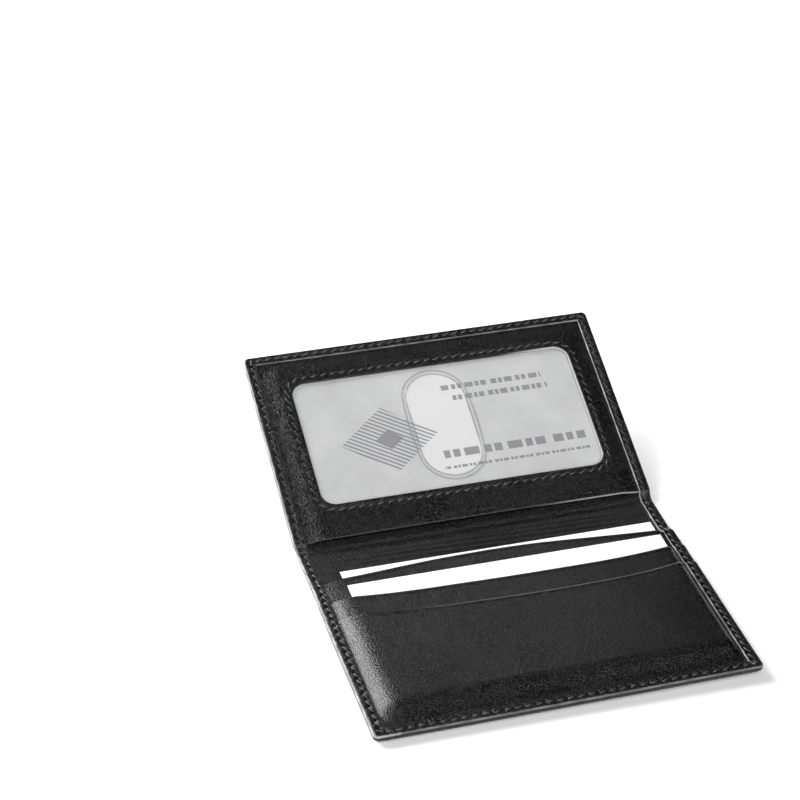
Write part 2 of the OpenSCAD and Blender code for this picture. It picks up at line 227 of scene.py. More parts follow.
patches = noise(grain, hide, 90.0, 3.0)
grain.links.new(height, g_out.inputs["Height"])
grain.links.new(hollows.outputs[0], g_out.inputs["Hollows"])
grain.links.new(patches.outputs[0], g_out.inputs["Patches"])


def new_material(name):
    """A material with nodes, its tree, its shader, and the piece's own place as a vector."""
    material = bpy.data.materials.new(name)
    material.use_nodes = True
    tree = material.node_tree
    place = node(tree, "ShaderNodeTexCoord")
    return material, tree, tree.nodes["Principled BSDF"], place.outputs["Object"]


def leather(name, colour, worn, roughness, pebbles_per_metre=pebble_pitch, stretch=0.25):
    """A glazed leather. Its colour greys in patches, is painted darker in the hollows between pebbles as
    painted shade, and greys where the mesh is marked, partly worn and partly as painted highlights; its
    gloss is a little uneven."""
    material, tree, shader, place = new_material(name)
    skin_grain = node(tree, "ShaderNodeGroup", {"Vector": place}, node_tree=grain)
    skin_grain.inputs["Pebbles per metre"].default_value = pebbles_per_metre
    skin_grain.inputs["Stretch"].default_value = stretch
    patch = node(tree, "ShaderNodeMapRange", {"Value": skin_grain.outputs["Patches"], "From Min": 0.35,
                                              "From Max": 0.7})
    base = mix_colour(tree, patch.outputs[0], colour, worn)
    # Painted shade: the hollows between pebbles get a much darker colour than the pebble tops.
    painted_hollow_colour = tuple(painted_hollow_shade * c for c in colour[:3]) + (1,)
    with_painted_shade = mix_colour(tree, skin_grain.outputs["Hollows"], base, painted_hollow_colour)
    # Marked edges are painted towards a pale grey: partly worn, partly painted highlights.
    rub_and_highlight = node(tree, "ShaderNodeAttribute", attribute_name="wear")
    worn_and_highlit = mix_colour(tree, rub_and_highlight.outputs["Fac"], with_painted_shade, worn_and_highlight_grey)
    rough = node(tree, "ShaderNodeMapRange", {"Value": skin_grain.outputs["Patches"], "From Min": 0.3,
                                              "From Max": 0.7, "To Min": roughness - 0.04,
                                              "To Max": roughness + 0.06})
    relief = node(tree, "ShaderNodeBump", {"Height": skin_grain.outputs["Height"], "Strength": 1.0,
                                           "Distance": grain_relief})
    tree.links.new(worn_and_highlit, shader.inputs["Base Color"])
    tree.links.new(rough.outputs[0], shader.inputs["Roughness"])
    tree.links.new(relief.outputs[0], shader.inputs["Normal"])
    shader.inputs["Specular IOR Level"].default_value = 0.33
    shader.inputs["Coat Weight"].default_value = 0.12
    shader.inputs["Coat Roughness"].default_value = 0.15
    return material


cover_leather = leather("Cover leather", (0.027, 0.027, 0.0275, 1), (0.035, 0.035, 0.0357, 1), 0.28)

# The outside leather is one sheet from free edge to free edge. Its borders are skived, turned in
# over the pockets and glued, then sewn through, so the edge is round and the turned strip is puckered.
side_strip, end_strip = 3.3 * mm, 2.9 * mm
side_stitch, end_stitch = 2.1 * mm, 1.45 * mm
pitch = 2.8 * mm
corner = 1.4 * mm
slot_mouths = [pocket_start, pocket_start - 8 * mm, pocket_start - 16 * mm]
ramp = (front + 58.2 * mm, fold_1 - 1.0 * mm)
cover_low = 1.05 * mm
mouth_line = far - 63.7 * mm
slot_step = 0.2 * mm
seam_share = 0.62
pucker_deep, groove_deep, strip_uneven = 0.15 * mm, 0.17 * mm, 0.07 * mm
sheet_t, sheet_gap = 0.5 * mm, 0.012 * mm


def steps(y, sharp=0.9 * mm):
    """How many of the three slots lie under the border at y, with a soft step at each mouth."""
    return sum(ease((mouth + 0.3 * mm - y) / sharp + 0.5) for mouth in slot_mouths)


def underside(y):
    """Height of the cover's outer face above the table."""
    return cover_low * (1 - ease((y - ramp[0]) / (ramp[1] - ramp[0])))


def flat_bottom(y):
    """The same, where the cover lies right on the table."""
    return np.zeros_like(y)


def border_top(y):
    """Height of the turned strip's top face."""
    low = fold_z + 0.9 * mm
    slots = low + 0.85 * mm * ease((ramp[1] - y) / (3.4 * mm)) + slot_step * steps(y)
    window = low + 0.45 * mm * ease((y - mouth_line + 1.4 * mm) / (1.6 * mm))
    return np.where(y < fold_2, slots, window)


def side_edge(y):
    """Half the width of the case at y; the spine is a little narrower than the pockets."""
    slots = half_w - (0.62 - 0.2 * steps(y)) * mm
    window = half_w - 0.6 * mm + 0.4 * mm * ease((y - mouth_line + 2 * mm) / (3 * mm))
    return np.where(y < fold_2, slots, window)


def border_path(y0, y1, end, spacing=0.35 * mm):
    """Points along the outer edge from (left, y1) round the free end at y0 to (right, y1). end is -1 at
    the front, +1 at the far edge, or 0 for the left side of the spine, which has no free end."""
    count = max(3, round(abs(y1 - y0) / spacing))
    straight = np.linspace(y1, y0 - end * corner, count)
    left = np.stack([-side_edge(straight), straight], axis=1)
    if end == 0:
        return left
    turn = np.linspace(0, math.pi / 2, 12)[1:]
    middle = left[-1]
    arc = middle + corner * np.stack([1 - np.cos(turn), end * np.sin(turn)], axis=1)
    across = np.linspace(arc[-1, 0], -arc[-1, 0], round(2 * half_w / spacing))[1:]
    edge = np.stack([across, np.full_like(across, arc[-1, 1])], axis=1)
    whole = np.concatenate([left, arc, edge])
    mirrored = np.concatenate([arc[-2::-1], left[::-1]]) * [-1, 1]
    return np.concatenate([whole, mirrored])


def inner_path(path, end):
    """The strip's inner edge, point for point: the outer edge moved in by the strip's width."""
    width = np.maximum(side_edge(path[:, 1]) - side_strip, 0)
    x = np.clip(path[:, 0], -width, width)
    y = path[:, 1]
    if end < 0:
        y = np.maximum(y, front + end_strip)
    if end > 0:
        y = np.minimum(y, far - end_strip)
    return np.stack([x, y], axis=1)


# The border's cross-section, clockwise from under the strip: distance in from the edge as a share of
# the strip's width, and height as a share from the outer face (0) to the strip's top (1).
section = [(1.38, 0.16), (1.15, 0.012), (0.95, 0.0), (0.8, 0.0), (0.72, 0.0), (0.64, 0.03), (0.56, 0.0),
           (0.4, 0.0), (0.25, 0.005), (0.15, 0.03), (0.07, 0.1), (0.02, 0.22), (0.0, 0.4), (0.0, 0.6),
           (0.02, 0.78), (0.07, 0.9), (0.14, 0.965), (0.22, 0.99), (0.32, 1.0), (0.42, 1.0), (0.5, 0.99),
           (0.56, 0.975), (0.6, 0.96), (0.64, 0.955), (0.68, 0.96), (0.72, 0.975), (0.78, 0.99),
           (0.86, 1.0), (0.93, 0.985), (0.97, 0.945), (0.99, 0.88), (1.0, 0.8), (1.0, 0.62), (1.2, 0.5)]


def border(y0, y1, end, side=0):
    """Points, faces and greying numbers of the turned border, partly worn edges and partly painted
    highlights. side picks one side of the spine.
    """
    outer = border_path(y0, y1, end)
    if side > 0:
        outer = outer[::-1] * [-1, 1]
    inner = inner_path(outer, end)
    low, top = underside(outer[:, 1]), border_top(outer[:, 1])
    if end > 0:
        low = flat_bottom(top)
    run = np.concatenate([[0], np.cumsum(np.linalg.norm(np.diff(outer, axis=0), axis=1))])
    across, up = np.array(section).T
    on_top = up > 0.7
    flat = outer[:, None] + (inner - outer)[:, None] * across[None, :, None]
    z = low[:, None] + (top - low)[:, None] * up[None]
    seam = np.exp(-(((across - seam_share) / 0.24) ** 2)) * np.where(on_top, 1.0, 0.4)
    slant = run[:, None] / pitch + 0.35 * (across[None] - seam_share)
    pucker = np.cos(2 * math.pi * slant) * seam[None] * pucker_deep
    uneven = (np.sin(run * 1913) * np.sin(run * 771 + 1.3))[:, None] * np.cos(across * 9 + 1)[None]
    uneven = uneven * np.where(on_top, strip_uneven, 0)[None]
    inside = pucker + 0.05 * mm * seam[None]
    groove = groove_deep * np.exp(-(((across - seam_share) / 0.13) ** 2))[None]
    z = z + np.where(up > 0.5, -inside, groove) + uneven
    points = np.concatenate([flat, z[..., None]], axis=2)
    n, m = points.shape[:2]
    index = np.arange(n * m).reshape(n, m)
    a, b = index[:-1], index[1:]
    faces = np.stack([a, np.roll(a, -1, axis=1), np.roll(b, -1, axis=1), b], axis=-1).reshape(-1, 4)
    ends = [tuple(index[0, ::-1]), tuple(index[-1])]
    # The outer round edge and the strip's inner edge are painted paler grey: partly worn, partly painted
    # highlights, made stronger on the right inner edge and the far left outer edge, where the lights
    # catch them.
    rim = 0.9 * np.exp(-(((across - 0.03) / 0.05) ** 2)) * on_top
    rim = rim + 0.85 * np.exp(-(((across - 0.985) / 0.03) ** 2)) * on_top
    lit = 0.5 + 0.5 * ease(outer[:, 0] / (10 * mm)) * (np.abs(outer[:, 0]) > 40 * mm)
    worn_and_left_highlight = 0.3 + 0.7 * (outer[:, 0] < -45 * mm)
    broken = 0.75 + 0.25 * np.sin(run * 640 + 2 * np.sin(run * 210))
    worn_and_highlit = np.where(across > 0.5, lit[:, None], worn_and_left_highlight[:, None]) * rim[None] * broken[:, None]
    return points.reshape(-1, 3), [tuple(f) for f in faces] + ends, worn_and_highlit.ravel()


def cover_sheet(y0, y1, underneath):
    """The flat of the cover between its borders, from y0 to y1, as a thin closed sheet."""
    y = y0 + (y1 - y0) * lines(y1 - y0, edge=(0, 0.5), step=1.2)
    x = np.linspace(-1, 1, 60)
    gx, gy = x[:, None] * (side_edge(y) - 1.6 * mm)[None], np.broadcast_to(y, (60, len(y)))
    z = underneath(gy) + sheet_gap
    return skin(np.stack([gx, gy, z + sheet_t], axis=2), np.stack([gx, gy, z], axis=2))


def joined(*parts):
    """Several sets of points, faces and greying numbers as one; a part without them gets none."""
    points, faces, wear, offset = [], [], [], 0
    for part in parts:
        points.append(part[0])
        faces += [tuple(int(i) + offset for i in f) for f in part[1]]
        wear.append(part[2] if len(part) > 2 else np.zeros(len(part[0])))
        offset += len(part[0])
    return np.concatenate(points), faces, np.concatenate(wear)


def cover(name, *parts):
    points, faces, wear = joined(*parts)
    return mesh_object(name, points, faces, cover_leather, wear)


cover_slots = cover("cover_slot_half", border(front, cut_1, -1),
                    cover_sheet(front + 1.5 * mm, cut_1, underside))
cover_spine = cover("cover_spine", border(cut_1, cut_2, 0), border(cut_1, cut_2, 0, side=1),
                    cover_sheet(cut_1, cut_2, flat_bottom))
cover_window = cover("cover_window_half", border(far, cut_2, 1),
                     cover_sheet(cut_2, far - 1.5 * mm, flat_bottom))


def bends(piece, low_body, high_body, line):
    """Bakes a soft piece's place into its mesh; it keeps the shape at_rest gave it and is not made to
    bend at the fold line.
    """
    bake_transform(piece)


bends(cover_slots, "slot_half", "spine_one", fold_1)
bends(cover_spine, "spine_one", "spine_two", fold_2)
bends(cover_window, "spine_two", "window_half", fold_3)
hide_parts("lower_cover")
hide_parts("spine_cover_one", "spine_cover_two")
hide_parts("upper_cover")

# The spine is lined with a strip of thinner, smoother leather, glued to the cover before the pockets
# go on. Its ends are hidden under the rear slot and under the window pocket's mouth.
lining_leather = leather("Lining leather", (0.022, 0.022, 0.0224, 1), (0.029, 0.029, 0.0296, 1), 0.32,
                         pebbles_per_metre=2500.0, stretch=0.4)
lining_t = 0.33 * mm


def lining_strip(y0, y1):
    """The lining from y0 to y1, with faint ripples across it where the spine has been bent."""
    y = y0 + (y1 - y0) * lines(y1 - y0, edge=(0, 0.3), step=0.5)
    x = np.linspace(-1, 1, 80)
    gx, gy = x[:, None] * (side_edge(y) - 1.2 * mm)[None], np.broadcast_to(y, (80, len(y)))
    under = underside(gy) + 0.55 * mm
    ripple = 0.1 * mm * np.sin(gy * 1450 + 2.0 * np.sin(gx * 31)) * ease((fold_3 - gy) / (4 * mm))
    top = under + lining_t + ripple * np.cos(gx / half_w * 1.4)
    return skin(np.stack([gx, gy, top], axis=2), np.stack([gx, gy, under], axis=2))


lining_low = mesh_object("spine_lining_low", *lining_strip(front + 59.5 * mm, cut_1), lining_leather)
lining_middle = mesh_object("spine_lining_middle", *lining_strip(cut_1, cut_2), lining_leather)
lining_high = mesh_object("spine_lining_high", *lining_strip(cut_2, mouth_line + 1.7 * mm),
                          lining_leather)
bends(lining_low, "slot_half", "spine_one", fold_1)
bends(lining_middle, "spine_one", "spine_two", fold_2)
bends(lining_high, "spine_two", "window_half", fold_3)
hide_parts("fold_lining_low")
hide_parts("spine_lining_one", "spine_lining_two")
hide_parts("fold_lining_high")

# Three slots lie on the slot half, each a step nearer the front. The two rear ones show a leather
# band with a turned, creased mouth; the front one is a full panel. They rise over the cards' edges
# from the side seams, gently on the left, where there is room, and steeply on the right.
pocket_leather = leather("Pocket leather", (0.027, 0.027, 0.0275, 1), (0.035, 0.035, 0.0357, 1), 0.28,
                         stretch=0.4)
seam_level = border_top(np.array([front]))[0] - 1.1 * mm
left_foot, left_brow = -48.3 * mm, -40.5 * mm
right_foot, right_brow = 48.5 * mm, 46.3 * mm
band_t = 0.42 * mm
rear_card_top, middle_card_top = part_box("card_a")[1][2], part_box("card_b")[1][2]
panel_t = 0.5 * mm
mouth_crease, mouth_crease_deep = 1.5 * mm, 0.09 * mm
hem_rise, mouth_dip, mouth_round = 0.05 * mm, 0.14 * mm, 0.22 * mm
cut_edge = 0.75 * mm


def over_cards(x):
    """0 at the side seams, 1 over the cards."""
    left = 1 - (1 - np.clip((x - left_foot) / (left_brow - left_foot), 0, 1)) ** 2.5
    return left * ease((right_foot - x) / (right_foot - right_brow))


def hollow(x, y, seed):
    """Slow unevenness of hand-laid leather, a tenth of a millimetre or two."""
    slow = np.sin(x * 95 + seed) * np.cos(y * 120 + 2 * seed)
    return mm * (0.05 + 0.04 * slow + 0.03 * np.sin(x * 210 + y * 160 + seed))


def slot_panel(name, level, mouth, bottom, seed, foot=0.0, rub_and_highlight=0.0):
    """A slot's leather from bottom to its mouth, a function of x. level is how high its underside lies
    over the cards, foot how far it takes to rise from the front seam, and the last argument how much its
    mouth edge is painted paler: partly worn, partly a painted highlight that fades out to the left."""
    rows = lines(float(mouth(0.0)) - bottom, step=0.8)
    cols = -1 + 2 * lines(2 * half_w, step=0.9)
    gx = cols[:, None] * (half_w - cut_edge) * np.ones_like(rows)[None]
    end = mouth(gx)
    gy = bottom + (end - bottom) * rows[None]
    lift_over = over_cards(gx)
    if foot:
        lift_over = lift_over * ease((gy - bottom - 2.6 * mm) / foot)
    from_mouth = end - gy
    seam = seam_level + 0.03 * mm * seed
    under = seam + (level - seam) * lift_over + hollow(gx, gy, seed) * lift_over
    crease_line = mouth_crease_deep * np.exp(-(((from_mouth - mouth_crease) / (0.22 * mm)) ** 2))
    hem = hem_rise * ease((2.2 * mm - from_mouth) / (1.2 * mm))
    dip = mouth_dip * np.clip(1 - from_mouth / (0.85 * mm), 0, 1) ** 2
    top = under + band_t + hem - crease_line - dip - rolled(from_mouth, mouth_round)
    # The mouth edge is painted paler grey, fading out towards the left: a painted highlight along the
    # turned edge, with some wear.
    worn_and_highlit = rub_and_highlight * np.exp(-((from_mouth / (0.24 * mm)) ** 2)) * ease((gx + 36 * mm) / (30 * mm))
    panel = mesh_object(name, *skin(np.dstack([gx, gy, top]), np.dstack([gx, gy, under])),
                        pocket_leather, np.stack([worn_and_highlit, worn_and_highlit]))
    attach(panel, "slot_half")
    return panel


def mouth_curve(middle, skew, bow, ends):
    """A mouth in millimetres from the front edge, bowed by bow and turned up by ends at the sides."""
    def at(x):
        s = x / (48 * mm)
        return front + (middle + skew * s + bow * s ** 2 + ends * s ** 4) * mm
    return at


slot_a = slot_panel("slot_rear", rear_card_top + 0.07 * mm, mouth_curve(66.3, -0.5, -4.7, 1.7),
                    front + 50 * mm, 1, rub_and_highlight=0.25)
slot_b = slot_panel("slot_middle", middle_card_top + 0.07 * mm, mouth_curve(52.4, -0.65, 0.9, 1.4),
                    front + 39 * mm, 2)
slot_c = slot_panel("slot_front", middle_card_top + 0.6 * mm, mouth_curve(43.3, -0.9, 1.5, 2.1),
                    front + 0.9 * mm, 3, foot=7.5 * mm, rub_and_highlight=1.0)
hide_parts("slot_a")
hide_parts("slot_b")
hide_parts("slot_c")

# The window panel is a leather frame sewn over clear film. Its lower edge is turned and left open as
# the pocket's mouth; its window has a cut, dyed edge and a row of stitches that holds the film.
film_low, film_top = 1.56 * mm, 1.68 * mm
window_w, window_h, window_r = 82.4 * mm, 41.4 * mm, 4.2 * mm
window_x = 0.5 * mm
window_y = far - 11.5 * mm - window_h / 2
panel_low, panel_mid = 0.95 * mm, 1.72 * mm
window_round, panel_mouth_round = 0.22 * mm, 0.4 * mm


def rounded_loop(w, h, r, count):
    """count points evenly round a rounded rectangle centred on 0, from the middle of its right side."""
    arc = math.pi / 2 * r
    sides = [h / 2 - r, arc, w - 2 * r, arc, h - 2 * r, arc, w - 2 * r, arc, h / 2 - r]
    stops = np.concatenate([[0], np.cumsum(sides)])
    at = np.linspace(0, stops[-1], count, endpoint=False)
    out = np.empty((count, 2))
    cw, ch = w / 2 - r, h / 2 - r
    centre = [(cw, ch), (-cw, ch), (-cw, -ch), (cw, -ch)]
    for i, s in enumerate(at):
        k = int(np.searchsorted(stops, s, side="right")) - 1
        d = s - stops[k]
        if k % 2:
            cx, cy = centre[k // 2]
            angle = (k // 2) * math.pi / 2 + d / r
            out[i] = cx + r * math.cos(angle), cy + r * math.sin(angle)
        else:
            out[i] = [(w / 2, d), (cw - d, h / 2), (-w / 2, ch - d), (-cw + d, -h / 2),
                      (w / 2, -ch + d)][k // 2]
    return out


def panel_rise(x, y):
    """0 in the side and far seams, 1 over the card."""
    return ease((48.4 * mm - np.abs(x)) / (5.7 * mm)) * ease((far - 2.9 * mm - y) / (5 * mm))


count = 900
inner_loop = rounded_loop(window_w, window_h, window_r, count)
panel_lo, panel_hi = mouth_line, far - 1.2 * mm
window_half = np.array([window_w / 2, window_h / 2])


def onto_box(loop, half):
    """Each point of a loop, moved straight out from 0 onto the box of the given half sizes."""
    return loop / np.maximum(np.abs(loop) / half, 1e-9).max(axis=1)[:, None]


aim = onto_box(inner_loop, window_half) / window_half
reach_y = np.where(aim[:, 1] > 0, panel_hi - window_y, window_y - panel_lo)
share = np.stack([aim[:, 0] * (half_w - cut_edge), aim[:, 1] * reach_y], axis=1)
spread = np.concatenate([[0, 0.004, 0.01, 0.02, 0.035, 0.055, 0.08], np.linspace(0.11, 0.86, 26),
                         [0.89, 0.915, 0.935, 0.952, 0.966, 0.978, 0.986, 0.993, 0.997, 1]])
inner_at = inner_loop + [window_x, window_y]
outer_at = share + [0, window_y]
ring = inner_at[:, None] + (outer_at - inner_at)[:, None] * spread[None, :, None]
gx, gy = ring[..., 0], ring[..., 1]
from_window = np.linalg.norm(ring - inner_at[:, None], axis=2)
from_mouth = gy - mouth_line
row_in = 1.9 * mm
row_loop = rounded_loop(window_w + 2 * row_in, window_h + 2 * row_in, window_r + row_in, count)
row_steps = np.linalg.norm(np.roll(row_loop, -1, axis=0) - row_loop, axis=1)
row_run = np.concatenate([[0], np.cumsum(row_steps)[:-1]]) / row_steps.sum()
row_count = round(row_steps.sum() / pitch)
slanted = row_run[:, None] * row_count + 0.3 * (from_window - row_in) / mm
seam_band = np.exp(-(((from_window - row_in) / (0.55 * mm)) ** 2))
seam_groove = (0.06 + 0.16 * np.cos(2 * math.pi * slanted)) * mm * seam_band
crease_line = 0.1 * mm * np.exp(-(((from_mouth - 1.4 * mm) / (0.25 * mm)) ** 2))
under = panel_low + (panel_mid - panel_low) * panel_rise(gx, gy) + 0.6 * hollow(gx, gy, 4.0)
gape = 0.25 * mm * np.exp(-((from_mouth / (6 * mm)) ** 2))
under = under + gape * np.clip(1 - (gx / (47 * mm)) ** 2, 0, 1)
top = under + panel_t - seam_groove - crease_line
top = top - rolled(from_window, window_round) - rolled(from_mouth, panel_mouth_round)


def ring_skin(top, bottom):
    """Points and faces of a closed ring-shaped sheet; the first axis runs round it."""
    n, m = top.shape[:2]
    index = np.arange(n * m).reshape(n, m)
    after = np.roll(index, -1, axis=0)
    upper = np.stack([index[:, :-1], index[:, 1:], after[:, 1:], after[:, :-1]], axis=-1).reshape(-1, 4)
    near, near_after, out, out_after = index[:, 0], after[:, 0], index[:, -1], after[:, -1]
    walls = [np.stack([near_after, near_after + n * m, near + n * m, near], axis=-1),
             np.stack([out, out + n * m, out_after + n * m, out_after], axis=-1)]
    faces = np.concatenate([upper, upper[:, ::-1] + n * m] + walls)
    return np.concatenate([top.reshape(-1, 3), bottom.reshape(-1, 3)]), faces


# The window's cut edge and the mouth's edge are painted paler grey on the right only: painted highlights
# where light from the left catches them, with some wear.
worn_and_highlit = 0.9 * np.exp(-((from_window / (0.26 * mm)) ** 2)) * ease((gx - 20 * mm) / (18 * mm))
worn_and_highlit = worn_and_highlit + 0.7 * np.exp(-((from_mouth / (0.14 * mm)) ** 2)) * ease((gx - 15 * mm) / (20 * mm))
panel = mesh_object("window_frame", *ring_skin(np.dstack([gx, gy, top]), np.dstack([gx, gy, under])),
                    pocket_leather, np.stack([worn_and_highlit, worn_and_highlit]))
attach(panel, "window_half")
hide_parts("window_panel")

# The clear window is stiff film with a slot for a fingertip, through which the card is pushed out.
# The slot's edge is cut and welded, which leaves two raised glossy rims.
film, tree, shader, place = new_material("Clear film")
haze = noise(tree, place, 60.0, 3.0)
wave = noise(tree, place, 25.0, 1.0)
cover_up = node(tree, "ShaderNodeMapRange", {"Value": haze.outputs[0], "From Min": 0.35, "From Max": 0.7,
                                             "To Min": 0.08, "To Max": 0.13})
weld = node(tree, "ShaderNodeAttribute", attribute_name="weld")
opacity = math_node(tree, "MULTIPLY_ADD", weld.outputs["Fac"], 0.42, cover_up.outputs[0], clamp=True)
ripple = node(tree, "ShaderNodeBump", {"Height": wave.outputs[0], "Strength": 0.15, "Distance": 0.002})
gloss = node(tree, "ShaderNodeMapRange", {"Value": haze.outputs[0], "To Min": 0.1, "To Max": 0.2})
tree.links.new(opacity, shader.inputs["Alpha"])
tree.links.new(ripple.outputs[0], shader.inputs["Normal"])
tree.links.new(gloss.outputs[0], shader.inputs["Roughness"])
shader.inputs["Base Color"].default_value = (0.3, 0.305, 0.31, 1)

finger_w, finger_h = 17 * mm, 34.5 * mm
finger_at = np.array([-0.4 * mm, window_y + 0.5 * mm])
finger_loop = rounded_loop(finger_w, finger_h, finger_w / 2 - 0.05 * mm, count)
film_half = np.array([43.4 * mm, 23.4 * mm])
aim = onto_box(finger_loop, film_half)
rim = np.array([0, 0.1, 0.25, 0.4, 0.55, 0.7, 0.85, 1.0, 1.15, 1.3, 1.45, 1.6, 1.8, 2.1]) * mm
away = finger_loop / np.linalg.norm(finger_loop, axis=1)[:, None]
near_loop = finger_loop[:, None] + away[:, None] * rim[None, :, None]
far_share = np.linspace(0, 1, 26)[1:]
rest = near_loop[:, -1][:, None] + (aim - near_loop[:, -1])[:, None] * far_share[None, :, None]
ring = np.concatenate([near_loop, rest], axis=1) + finger_at
gap = np.concatenate([rim, rim[-1] + far_share * 20 * mm])
inner_weld = np.exp(-(((gap - 0.25 * mm) / (0.16 * mm)) ** 2))
outer_weld = np.exp(-(((gap - 1.45 * mm) / (0.18 * mm)) ** 2))
welds = inner_weld + outer_weld
weld_height = 0.12 * mm
level = film_low + 0.015 * mm * np.sin(ring[..., 0] * 60)
top = level + (film_top - film_low) + weld_height * welds[None]
window_sheet = mesh_object("clear_window", *ring_skin(np.dstack([ring, top]), np.dstack([ring, level])),
                           film)
weld_at = np.tile(welds[None], (2 * count, 1)).ravel()
window_sheet.data.attributes.new("weld", "FLOAT", "POINT").data.foreach_set("value", weld_at)
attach(window_sheet, "window_half")
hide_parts("window_film")

# Two spare cards stand in the slots, one lies in the window and one in the outside pocket: plain
# uncoated card, very slightly bowed. The window's card has a generic mark and grey bars printed on it.
print_grey = (0.2, 0.2, 0.21, 1)
card_edge, card_bow = 0.06 * mm, 0.02 * mm


def card_material(name, colour, printed=False):
    """Plain uncoated card, its tone a little uneven; printed adds the window card's grey marks."""
    material, tree, shader, place = new_material(name)
    fibre = noise(tree, place, 1500.0, 4.0)
    tint = noise(tree, place, 40.0, 2.0)
    paper = mix_colour(tree, tint.outputs[0], colour, tuple(0.97 * c for c in colour[:3]) + (1,))
    if printed:
        paper = mix_colour(tree, print_mask(tree, place), paper, print_grey)
    tooth = node(tree, "ShaderNodeBump", {"Height": fibre.outputs[0], "Strength": 0.1,
                                          "Distance": 0.00005})
    tree.links.new(paper, shader.inputs["Base Color"])
    tree.links.new(tooth.outputs[0], shader.inputs["Normal"])
    shader.inputs["Roughness"].default_value = 0.75
    return material


def print_mask(tree, vector):
    """1 on the printed bars and the diamond mark, 0 on bare card."""
    parts = node(tree, "ShaderNodeSeparateXYZ", {0: vector})
    x, y = parts.outputs["X"], parts.outputs["Y"]
    c, s = math.cos(lift), math.sin(lift)
    along = math_node(tree, "MULTIPLY_ADD", y, c, -fold_3 * c)
    up = math_node(tree, "MULTIPLY_ADD", parts.outputs["Z"], s, -fold_z * s)
    v = math_node(tree, "ADD", along, up)

    def inside(value, centre, half):
        offset = math_node(tree, "ABSOLUTE", math_node(tree, "SUBTRACT", value, centre))
        return math_node(tree, "LESS_THAN", offset, half)

    total = None
    for bar_x, bar_y, bar_w, bar_h, beat in print_rows:
        row = math_node(tree, "MULTIPLY", inside(x, bar_x, bar_w / 2), inside(v, bar_y, bar_h / 2))
        sway = math_node(tree, "SINE", math_node(tree, "MULTIPLY", x, 0.37 * beat))
        uneven = math_node(tree, "MULTIPLY", sway, 1.3)
        blocks = math_node(tree, "SINE", math_node(tree, "MULTIPLY_ADD", x, beat, uneven))
        row = math_node(tree, "MULTIPLY", row, math_node(tree, "GREATER_THAN", blocks, -0.55))
        total = row if total is None else math_node(tree, "MAXIMUM", total, row)
    off_x = math_node(tree, "ABSOLUTE", math_node(tree, "SUBTRACT", x, mark_at[0]))
    off_v = math_node(tree, "ABSOLUTE", math_node(tree, "SUBTRACT", v, mark_at[1]))
    spread = math_node(tree, "MULTIPLY_ADD", off_x, 0.78, off_v)
    diamond = math_node(tree, "LESS_THAN", spread, mark_size)
    across = math_node(tree, "MULTIPLY_ADD", x, 2900.0, math_node(tree, "MULTIPLY", v, 4300.0))
    hatch = math_node(tree, "GREATER_THAN", math_node(tree, "SINE", across), 0.1)
    core = math_node(tree, "LESS_THAN", spread, 0.3 * mark_size)
    mark = math_node(tree, "MULTIPLY", diamond, math_node(tree, "MAXIMUM", hatch, core))
    return math_node(tree, "MAXIMUM", total, mark)


print_y = window_y - fold_3
mark_at, mark_size = (-17 * mm, print_y - 2 * mm), 11 * mm
print_rows = [(17 * mm, print_y + 12.6 * mm, 30 * mm, 1.7 * mm, 2600.0),
              (18.5 * mm, print_y + 8.8 * mm, 29 * mm, 1.7 * mm, 2900.0),
              (18 * mm, print_y - 9.7 * mm, 42 * mm, 2.6 * mm, 1500.0),
              (18 * mm, print_y - 14.2 * mm, 44 * mm, 0.9 * mm, 4100.0)]

spare_card = card_material("Spare card", (0.9, 0.9, 0.9, 1))
printed_card = card_material("Printed card", (0.5, 0.5, 0.5, 1), printed=True)


def card(name, node_name, x, y0, z, size, material, body, settled=True):
    """A card centred on x, from y0 towards the spine, lying at height z."""
    w, h, t = size
    rows, cols = lines(h, edge=(0, 0.05, 0.12), step=2), lines(w, edge=(0, 0.05, 0.12), step=2)
    gx, gy = np.meshgrid(x - w / 2 + w * cols, y0 + h * rows, indexing="ij")
    edge = np.minimum.reduce([gx - gx.min(), gx.max() - gx, gy - gy.min(), gy.max() - gy])
    round_off = rolled(edge, card_edge)
    low = z + card_bow * (1 - ((gx - x) / (w / 2)) ** 2)
    sheet = skin(np.dstack([gx, gy, low + t - round_off]), np.dstack([gx, gy, low + round_off]))
    made = mesh_object(name, *sheet, material, settled=settled)
    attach(made, body)
    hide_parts(node_name)


card_size = (88.9 * mm, 50.8 * mm, 0.35 * mm)
slots_right = 1.9 * mm
card("rear_spare_card", "card_a", slots_right, front + 16.7 * mm, 2.35 * mm, card_size, spare_card,
     "rear_card", settled=False)
card("middle_spare_card", "card_b", slots_right, front + 9.2 * mm, 3.4 * mm, card_size, spare_card,
     "middle_card", settled=False)
card("outside_spare_card", "outer_card", 0.0, front + 5.8 * mm, 0.6 * mm, card_size, spare_card,
     "outside_card")
card("window_spare_card", "id_card", 0.0, front + 88.2 * mm, 1.15 * mm, card_size, printed_card,
     "window_card")

# The outside pocket is one flat leather panel let into the back of the slot half, with a scooped,
# double-turned mouth towards the spine. A plain rectangle is pressed into it near the front edge.
scoop_deep, pocket_end = 9.6 * mm, front + 58 * mm
scoop_r = 124.8 * mm
mouth_row_in, stitch_sunk = 2 * mm, 0.2 * mm


def pocket_mouth(x):
    """Where the pocket's leather ends at x: a shallow arc, cut off square near the sides."""
    centre = pocket_end - scoop_deep + scoop_r
    reach = centre - np.sqrt(np.maximum(scoop_r ** 2 - x ** 2, 0))
    return np.minimum(pocket_end, reach)


